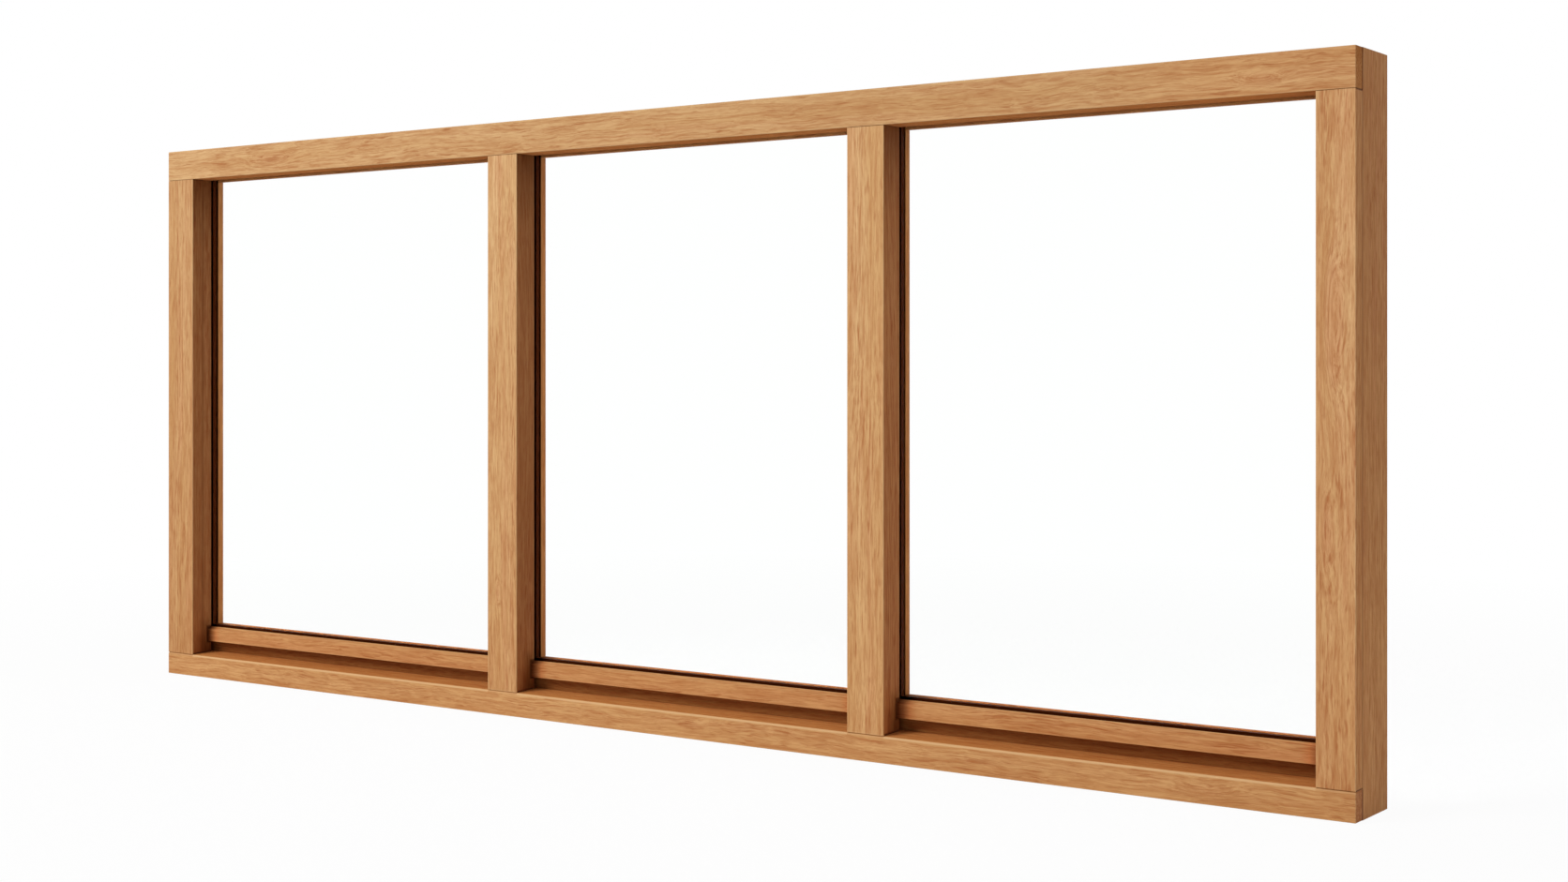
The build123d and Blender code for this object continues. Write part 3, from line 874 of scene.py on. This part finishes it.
LAP_SEAM_DEPTH = 0.85
JAMB_SEAM_DEPTH = 0.35
POST_LINES = (
    joint_on_front(SOFFIT),
    joint_on_front(NOSE),
    Line("seam", OFF_THE_SILL, SILL_TOP_AWAY, 0.0042, 0.85,
         (-SIDE_FROM, BEHIND_FRONT + 0.002, -FAR), (SIDE_FROM, -0.0005, FAR)),
)
LAP_END_LINES = tuple(
    back_of_lap(LAP_SEAM_DEPTH, (x_low, -FAR, z_low), (x_high, FAR, z_high))
    for z_low, z_high in ((SOFFIT, FAR), (-FAR, NOSE))
    for x_low, x_high in ((SIDE_FROM, FAR), (-FAR, -SIDE_FROM))
)
JAMB_LINES = POST_LINES + LAP_END_LINES + (
    joint_on_side(SOFFIT),
    joint_on_side(NOSE),
    back_of_lap(JAMB_SEAM_DEPTH, (-FAR, -FAR, NOSE), (FAR, FAR, SOFFIT)),
)
# Painted highlight: a pale line on the rounded nose of the sill, where it catches the light from above.
NOSE_HIGHLIGHTS = (
    Line("pale", UPWARD, NOSE - 0.0012, 0.0024, 0.35, LOWEST, (FAR, BEHIND_FRONT, FAR)),
) + tuple(
    Line("pale", UPWARD, NOSE - 0.0010, 0.0034, 0.75,
         (x_low, -FAR, -FAR), (x_high, BEHIND_FRONT + 0.001, FAR))
    for x_low, x_high in OPENINGS
)


def inside(tone, z_low, z_high, border):
    """A zone between the front, the back and the outer sides of the frame."""
    return Zone(tone, (-SIDE_FROM, BEHIND_FRONT, z_low), (SIDE_FROM, BEFORE_BACK, z_high), border)


def toward_head(tone, foot, top):
    """A painted shade inside the openings that grows from one height to another."""
    low = (-SIDE_FROM, BEHIND_FRONT, -FAR)
    high = (SIDE_FROM, BEFORE_BACK, UNDER_TOP)
    return Zone(NO_TINT, low, high, SOFT, tone, foot, top)


def on_sides(back, tone, top_tone):
    """Tints of the two outer sides, from behind the front face to a depth."""
    return (
        Zone(tone, (SIDE_FROM, BEHIND_FRONT, -FAR), (FAR, back, FAR), CRISP, top_tone),
        Zone(tone, (-FAR, BEHIND_FRONT, -FAR), (-SIDE_FROM, back, FAR), CRISP, top_tone),
    )


# Zones of the boards, each with its tone, the corners of its box and its border. Most of them paint
# shade.
# Darker and redder toward the foot.
RISE = Zone("foot_tone", (-SIDE_FROM, -FAR, -FAR), (SIDE_FROM, FAR, FAR), CRISP, "head_tone")
# Painted shade on the wood inside the openings.
OPENING = inside("recess_tone", -FAR, UNDER_TOP, SOFT)
# Painted shade on the top of the sill.
SILL_TOP = inside("sill_top_tone", ABOVE_BASE, FAR, SOFT)
# Painted shade under the head.
SOFFIT_SHADE = inside("soffit_tone", -FAR, UNDER_TOP, SOFT)
# Painted shade on the posts toward the head.
TOP_FADE_SHADE = toward_head("top_fade_tone", 0.66, 0.86)
# Painted shade in the corners under the head.
TOP_CORNER_SHADE = toward_head("top_corner_tone", 0.833, SOFFIT)
# Painted shade in the corners at the foot of the openings.
FOOT_CORNER_SHADE = inside("corner_tone", -FAR, 0.085, 0.045)
# Painted shade on the step of the sill under the weather bars.
RISER_SHADE = Zone(
    "riser_tone", (-SIDE_FROM, -0.0075, ABOVE_BASE), (SIDE_FROM, 0.010, RISER_TOP), SMOOTH)
# Painted shade of the recess on the weather bars.
BAR_RECESS_SHADE = Zone("bar_tone", LOWEST, HIGHEST, SMOOTH)
# Painted contact shadow on the posts beside the ends of the weather bars.
BAR_CONTACT_SHADE = Zone("contact_tone", (-SIDE_FROM, -0.0262, 0.060), (SIDE_FROM, -0.010, 0.096), 0.0030)
BAR_SHADE = Zone("shade_tone", (-SIDE_FROM, -0.046, -FAR), (SIDE_FROM, -0.010, 0.112), 0.022)
SILL_FADE = 0.30
HEAD_FADE = 0.20
SILL_ENDS = (
    Zone("sill_end_tone", LOWEST, (-0.25, FAR, FAR), SILL_FADE),
    Zone("sill_end_tone", (0.50, -FAR, -FAR), HIGHEST, SILL_FADE),
)
HEAD_END = Zone("head_end_tone", (0.80, -FAR, -FAR), HIGHEST, HEAD_FADE)
POST_ZONES = (RISE, OPENING, TOP_FADE_SHADE, TOP_CORNER_SHADE, FOOT_CORNER_SHADE, BAR_SHADE, BAR_CONTACT_SHADE)
# Painted shade on the outer sides of the frame.
SIDE_SHADES = on_sides(FAR, "side_tone", "side_top_tone")
LAP_ENDS = on_sides(LAP_LIMIT, "lap_tone", "lap_top_tone")

# A figure is given by its place, stretch and rise
FRAME_BOARDS = {
    "head": Board(
        upright=False, seed=(3.1, 1.7, 5.9), pith=(0.0, 0.115, 0.014), ripple=0.011,
        figures=(((-0.90, -0.059, -0.002), (16.0, 20.0, 75.0), 0.011),
                 ((1.07, -0.059, -0.006), (30.0, 20.0, 110.0), 0.010)),
        lines=LAP_END_LINES, zones=(SOFFIT_SHADE, HEAD_END) + SIDE_SHADES + LAP_ENDS,
        tint=(0.955, 0.988, 1.0), shine=0.0, redness=0.30),
    "sill": Board(
        upright=False, seed=(10.4, 1.7, 5.9), pith=(0.0, 0.12, -0.02), ripple=0.011,
        figures=(((0.99, -0.059, -0.020), (22.0, 20.0, 90.0), 0.009),),
        lines=LAP_END_LINES + NOSE_HIGHLIGHTS,
        zones=(RISE, SILL_TOP, RISER_SHADE) + SILL_ENDS + SIDE_SHADES + LAP_ENDS,
        tint=(1.068, 1.113, 1.105), redness=0.20),
    "left_jamb": Board(
        upright=True, seed=(11.3, 2.9, 0.6), pith=(0.0, 0.13, 0.30), ripple=0.002, lines=JAMB_LINES,
        zones=POST_ZONES + SIDE_SHADES, tint=(0.955, 0.985, 0.985), length=1.25, depth=0.96),
    "right_jamb": Board(
        upright=True, seed=(15.4, 2.9, 0.6), pith=(0.0, 0.10, -0.004), ripple=0.004, lines=JAMB_LINES,
        figures=(((0.15, -0.059, -0.002), (11.0, 20.0, 75.0), 0.016),
                 ((-0.13, -0.059, -0.012), (16.0, 20.0, 90.0), 0.010)),
        zones=POST_ZONES + SIDE_SHADES, tint=(1.055, 1.085, 1.10), length=1.4),
    "left_mullion": Board(
        upright=True, seed=(19.5, 2.9, 0.6), pith=(0.0, 0.14, 0.25), ripple=0.002, lines=POST_LINES,
        figures=(((-0.31, -0.044, -0.010), (38.0, 20.0, 150.0), 0.009),),
        zones=POST_ZONES, tint=(1.05, 1.13, 1.17), length=1.25, depth=0.93),
    "right_mullion": Board(
        upright=True, seed=(23.6, 2.9, 0.6), pith=(0.0, 0.12, -0.28), ripple=0.002, lines=POST_LINES,
        zones=POST_ZONES, tint=(1.055, 1.115, 1.125), length=1.25, depth=1.09),
}


# Operators, one for each group of like pieces

class WINDOW_OT_finish_frame(bpy.types.Operator):
    """Finish the head, the sill, the jambs and the mullions in oiled oak"""

    bl_idname = "oak_window.finish_frame"
    bl_label = "Finish the frame"

    def execute(self, context):
        for node, board in FRAME_BOARDS.items():
            ease(dress(node, oak_material(node, board)), FRAME_EDGE)
        return {"FINISHED"}


# Tone, reach and border of the painted shadow at the ends of the weather bars
BAR_END_SHADES = (("bar_blush_tone", 0.036, 0.014), ("bar_end_tone", 0.023, 0.020))
# Tint of each bead, and how strongly its edges are lightened for wear and a painted highlight
BEAD_LOOKS = {
    "top_bead": ((1.05, 1.06, 0.98), 0.45),
    # The bottom bead's darker tint and faint edges paint the shade on its front, seen through the glass.
    "bottom_bead": ((0.98, 0.95, 0.74), 0.10),
    "left_bead": ((1.38, 1.48, 1.48), 0.45),
    "right_bead": ((1.38, 1.48, 1.48), 0.45),
}


class WINDOW_OT_finish_bars(bpy.types.Operator):
    """Finish the weather bars in oiled oak"""

    bl_idname = "oak_window.finish_bars"
    bl_label = "Finish the weather bars"

    def execute(self, context):
        for index, light in enumerate(LIGHTS):
            node = light + "_weather_bar"
            seed = (31.7 + 5.3 * index, 4.4, 2.2)
            low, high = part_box(node)
            ends = ()
            for tone, reach, border in BAR_END_SHADES:
                ends += (
                    Zone(tone, LOWEST, (low[0] + reach, FAR, FAR), border),
                    Zone(tone, (high[0] - reach, -FAR, -FAR), HIGHEST, border),
                )
            board = Board(
                upright=False, seed=seed, pith=(0.0, 0.09, 0.01), ripple=0.008,
                zones=(RISE, BAR_RECESS_SHADE) + ends, tint=(1.045, 1.09, 1.09))
            ease(dress(node, oak_material(node, board)), SMALL_EDGE)
        return {"FINISHED"}


class WINDOW_OT_finish_beads(bpy.types.Operator):
    """Finish the glazing beads in oiled oak"""

    bl_idname = "oak_window.finish_beads"
    bl_label = "Finish the glazing beads"

    def execute(self, context):
        for index, light in enumerate(LIGHTS):
            for order, name in enumerate(LEVEL_BEADS + SIDE_BEADS):
                node = light + "_" + name
                seed = (51.9 + 3.7 * index, 6.1 + 2.3 * order, 1.3)
                tint, wear_and_highlight = BEAD_LOOKS[name]
                board = Board(
                    upright=name in SIDE_BEADS, seed=seed, pith=(0.0, 0.07, 0.02), ripple=0.003,
                    zones=(RISE, OPENING), tint=tint, wear_and_highlight=wear_and_highlight)
                ease(dress(node, oak_material(node, board)), SMALL_EDGE)
        return {"FINISHED"}


class WINDOW_OT_finish_glass(bpy.types.Operator):
    """Finish the two panes of each light in clear glass"""

    bl_idname = "oak_window.finish_glass"
    bl_label = "Finish the glass"

    def execute(self, context):
        glass = glass_material()
        for light in LIGHTS:
            dress(light + "_outer_pane", glass)
            dress(light + "_inner_pane", glass)
        return {"FINISHED"}


# Piece and setting of each seal, with its material's name, roughness and speckle
SEALS = (
    ("spacer", "spacer", "Dark warm edge spacer", 0.55, 900.0),
    ("outer_tape", "outer_tape", "Dark foam tape", 0.85, 2200.0),
    ("inner_tape", "inner_tape", "Brown foam tape", 0.85, 2200.0),
    ("setting_blocks", "packer", "Plain plastic packer", 0.5, 500.0),
)


class WINDOW_OT_finish_seals(bpy.types.Operator):
    """Finish the spacers, the glazing tapes and the packers"""

    bl_idname = "oak_window.finish_seals"
    bl_label = "Finish the seals"

    def execute(self, context):
        glazing = settings().glazing
        for name, setting, label, roughness, speckle in SEALS:
            seal = dull_material(label, tuple(getattr(glazing, setting)), roughness, speckle)
            for light in LIGHTS:
                dress(light + "_" + name, seal)
        return {"FINISHED"}


# Studio

FLOOR_SIZE = 60.0
FLOOR_DROP = 0.0004
FLOOR_COLOUR = (0.86, 0.86, 0.86)
FLOOR_ROUGHNESS = 0.9

# Share of plain backdrop in the floor near the window, and where it grows to all of it
LIFT_NEAR = 0.95
FADE_FROM = 1.6
FADE_TO = 3.4

LAMP_PLACE = (-4.0, -7.2, 6.2)
LAMP_AIM = (0.0, 0.0, 0.5)
LAMP_SIZE = (4.0, 4.0)


def seen_directly(tree):
    """1 for rays that show the backdrop itself, to the camera, in gloss or through glass."""
    path = place(tree, "ShaderNodeLightPath").outputs
    shown = maths(tree, "MAXIMUM", path["Is Camera Ray"], path["Is Glossy Ray"])
    return maths(tree, "MAXIMUM", shown, path["Is Transmission Ray"])


def make_world(studio):
    """Soft light from all around, with a white backdrop."""
    world = bpy.data.worlds.new("Studio")
    bpy.context.scene.world = world
    world.use_nodes = True
    tree = world.node_tree
    tree.nodes.clear()
    soft = place(tree, "ShaderNodeBackground", {"Color": opaque(WHITE), "Strength": studio.ambient})
    white = place(tree, "ShaderNodeBackground", {"Color": opaque(studio.backdrop), "Strength": 1.0})
    mix = place(tree, "ShaderNodeMixShader", {
        0: seen_directly(tree), 1: soft.outputs[0], 2: white.outputs[0]})
    output = place(tree, "ShaderNodeOutputWorld")
    tree.links.new(mix.outputs[0], output.inputs["Surface"])


def make_floor(studio):
    """Plain pale floor that keeps a soft shadow of the window."""
    half = FLOOR_SIZE / 2
    mesh = bpy.data.meshes.new("Floor")
    corners = [(-half, -half, -FLOOR_DROP), (half, -half, -FLOOR_DROP),
               (half, half, -FLOOR_DROP), (-half, half, -FLOOR_DROP)]
    mesh.from_pydata(corners, [], [(0, 1, 2, 3)])
    floor = bpy.data.objects.new("Floor", mesh)
    bpy.context.scene.collection.objects.link(floor)
    material, tree, shader, surface = new_material("Pale floor")
    shader.inputs["Base Color"].default_value = opaque(FLOOR_COLOUR)
    shader.inputs["Roughness"].default_value = FLOOR_ROUGHNESS
    shader.inputs["Specular IOR Level"].default_value = 0.0
    glow = place(tree, "ShaderNodeEmission", {"Color": opaque(studio.backdrop), "Strength": 1.0})
    here = place(tree, "ShaderNodeTexCoord").outputs["Object"]
    far = remap(tree, vectors(tree, "LENGTH", here), FADE_FROM, FADE_TO, LIFT_NEAR, 1.0)
    lift = maths(tree, "MULTIPLY", seen_directly(tree), far)
    mix = place(tree, "ShaderNodeMixShader", {0: lift, 1: shader.outputs[0], 2: glow.outputs[0]})
    tree.links.new(mix.outputs[0], surface)
    mesh.materials.append(material)


def make_lamp(name, at, toward, size, power):
    """Large soft lamp that points at a place."""
    lamp = bpy.data.lights.new(name, "AREA")
    lamp.shape = "RECTANGLE"
    lamp.size, lamp.size_y = size
    lamp.energy = power
    holder = bpy.data.objects.new(name, lamp)
    holder.location = at
    holder.rotation_euler = (Vector(toward) - Vector(at)).to_track_quat("-Z", "Y").to_euler()
    bpy.context.scene.collection.objects.link(holder)


def make_camera(studio):
    """Level camera to the right of the window."""
    data = bpy.data.cameras.new("Camera")
    data.sensor_width = 36.0
    data.lens = studio.lens
    data.shift_y = studio.shift
    data.clip_end = 200.0
    camera = bpy.data.objects.new("Camera", data)
    camera.location = studio.camera_place
    camera.rotation_euler = (math.pi / 2, 0.0, studio.camera_turn)
    bpy.context.scene.collection.objects.link(camera)
    bpy.context.scene.camera = camera


class WINDOW_OT_set_stage(bpy.types.Operator):
    """Set up the floor, the soft light and the camera"""

    bl_idname = "oak_window.set_stage"
    bl_label = "Set up the studio"

    def execute(self, context):
        studio = settings().studio
        make_world(studio)
        make_floor(studio)
        make_lamp("Key lamp", LAMP_PLACE, LAMP_AIM, LAMP_SIZE, studio.key)
        make_camera(studio)
        context.scene.view_settings.view_transform = "Standard"
        return {"FINISHED"}


class WINDOW_PT_panel(bpy.types.Panel):
    """Sidebar panel that lists the settings and the steps"""

    bl_idname = "WINDOW_PT_panel"
    bl_label = "Oak window"
    bl_space_type = "VIEW_3D"
    bl_region_type = "UI"
    bl_category = "Oak window"

    def draw(self, context):
        chosen = settings()
        for group in (chosen.oak, chosen.glazing, chosen.studio):
            box = self.layout.box()
            for name in group.__annotations__:
                box.prop(group, name)
        for step in STEPS:
            self.layout.operator(step.bl_idname)


STEPS = (
    WINDOW_OT_finish_frame,
    WINDOW_OT_finish_bars,
    WINDOW_OT_finish_beads,
    WINDOW_OT_finish_glass,
    WINDOW_OT_finish_seals,
    WINDOW_OT_set_stage,
)
CLASSES = (OakSettings, GlazingSettings, StudioSettings, OakWindowSettings, *STEPS, WINDOW_PT_panel)


def register():
    for each in CLASSES:
        bpy.utils.register_class(each)
    bpy.types.Scene.oak_window = PointerProperty(type=OakWindowSettings)


def unregister():
    del bpy.types.Scene.oak_window
    for each in reversed(CLASSES):
        bpy.utils.unregister_class(each)


def main():
    """Finishes the window and sets up its studio."""
    register()
    bpy.ops.oak_window.finish_frame()
    bpy.ops.oak_window.finish_bars()
    bpy.ops.oak_window.finish_beads()
    bpy.ops.oak_window.finish_glass()
    bpy.ops.oak_window.finish_seals()
    bpy.ops.oak_window.set_stage()


if __name__ == "__main__":
    main()
